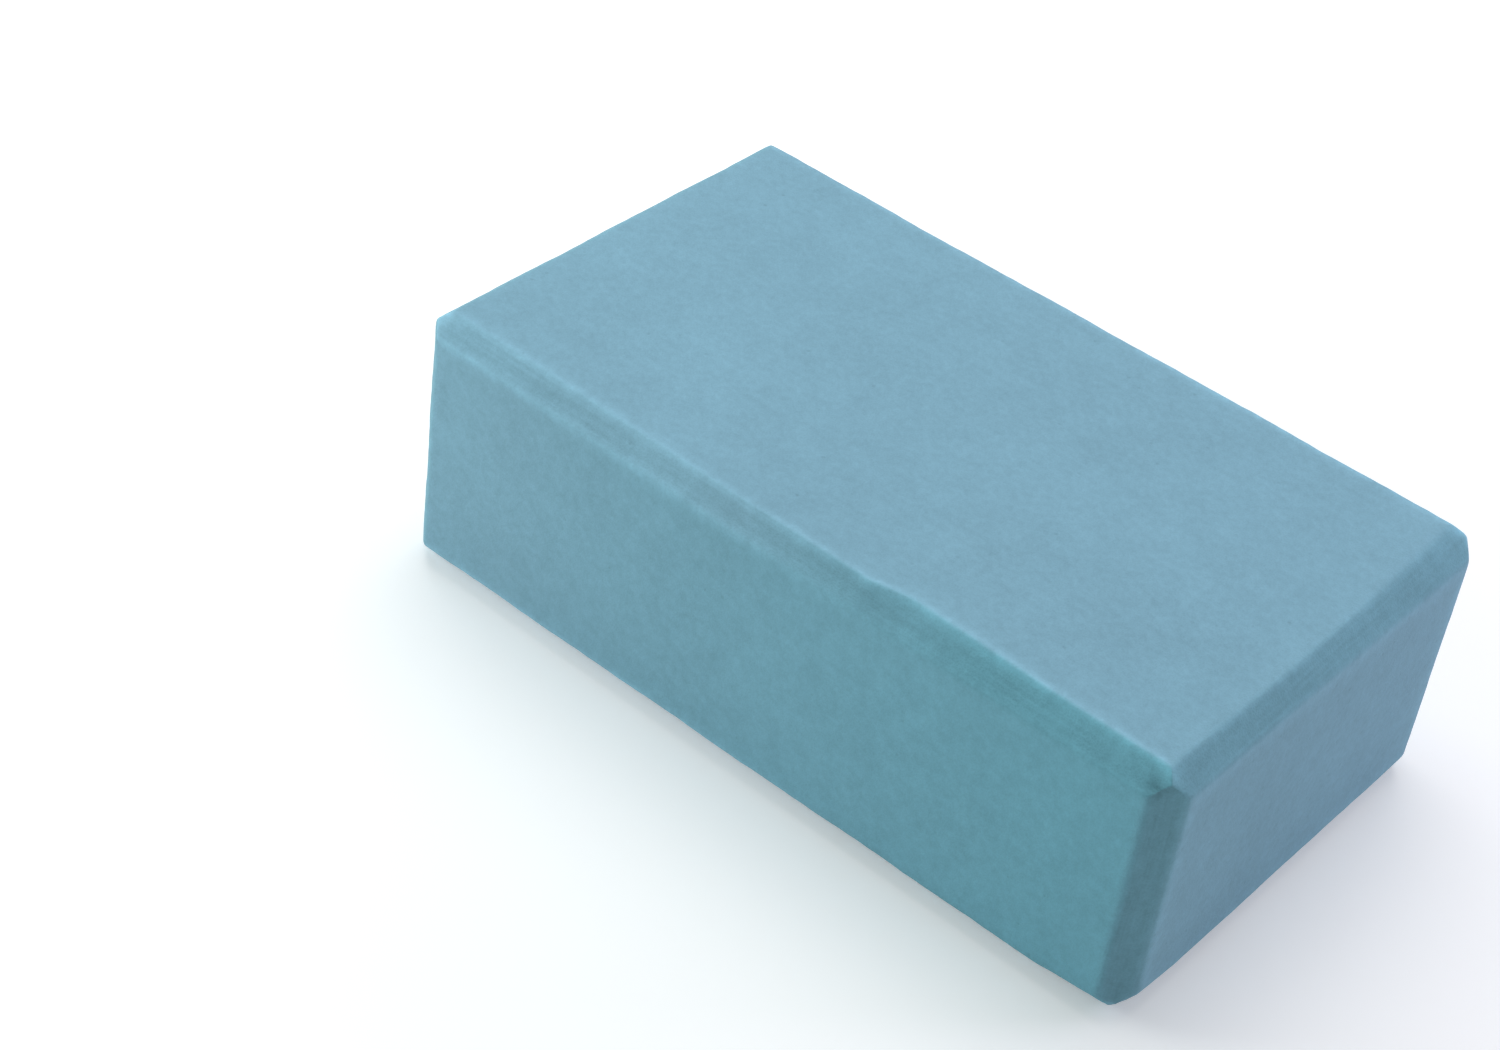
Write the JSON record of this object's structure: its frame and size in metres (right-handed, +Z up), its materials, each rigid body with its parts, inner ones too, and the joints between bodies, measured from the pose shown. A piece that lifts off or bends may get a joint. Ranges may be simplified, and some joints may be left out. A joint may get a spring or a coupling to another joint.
{
  "type": "foam yoga block",
  "caption": "Rectangular block of closed-cell foam with a flat bevel cut along every edge, used as a support in floor exercise.",
  "frame": {"origin": "middle of the large face that the block lies on", "axes": "+X along the length, +Y across the width, +Z up through the thickness"},
  "size_m": [0.2286, 0.1344, 0.0762],
  "materials": {
    "foam": "matte"
  },
  "bodies": {
    "root": {"foam_block": "foam"}
  },
  "joints": []
}
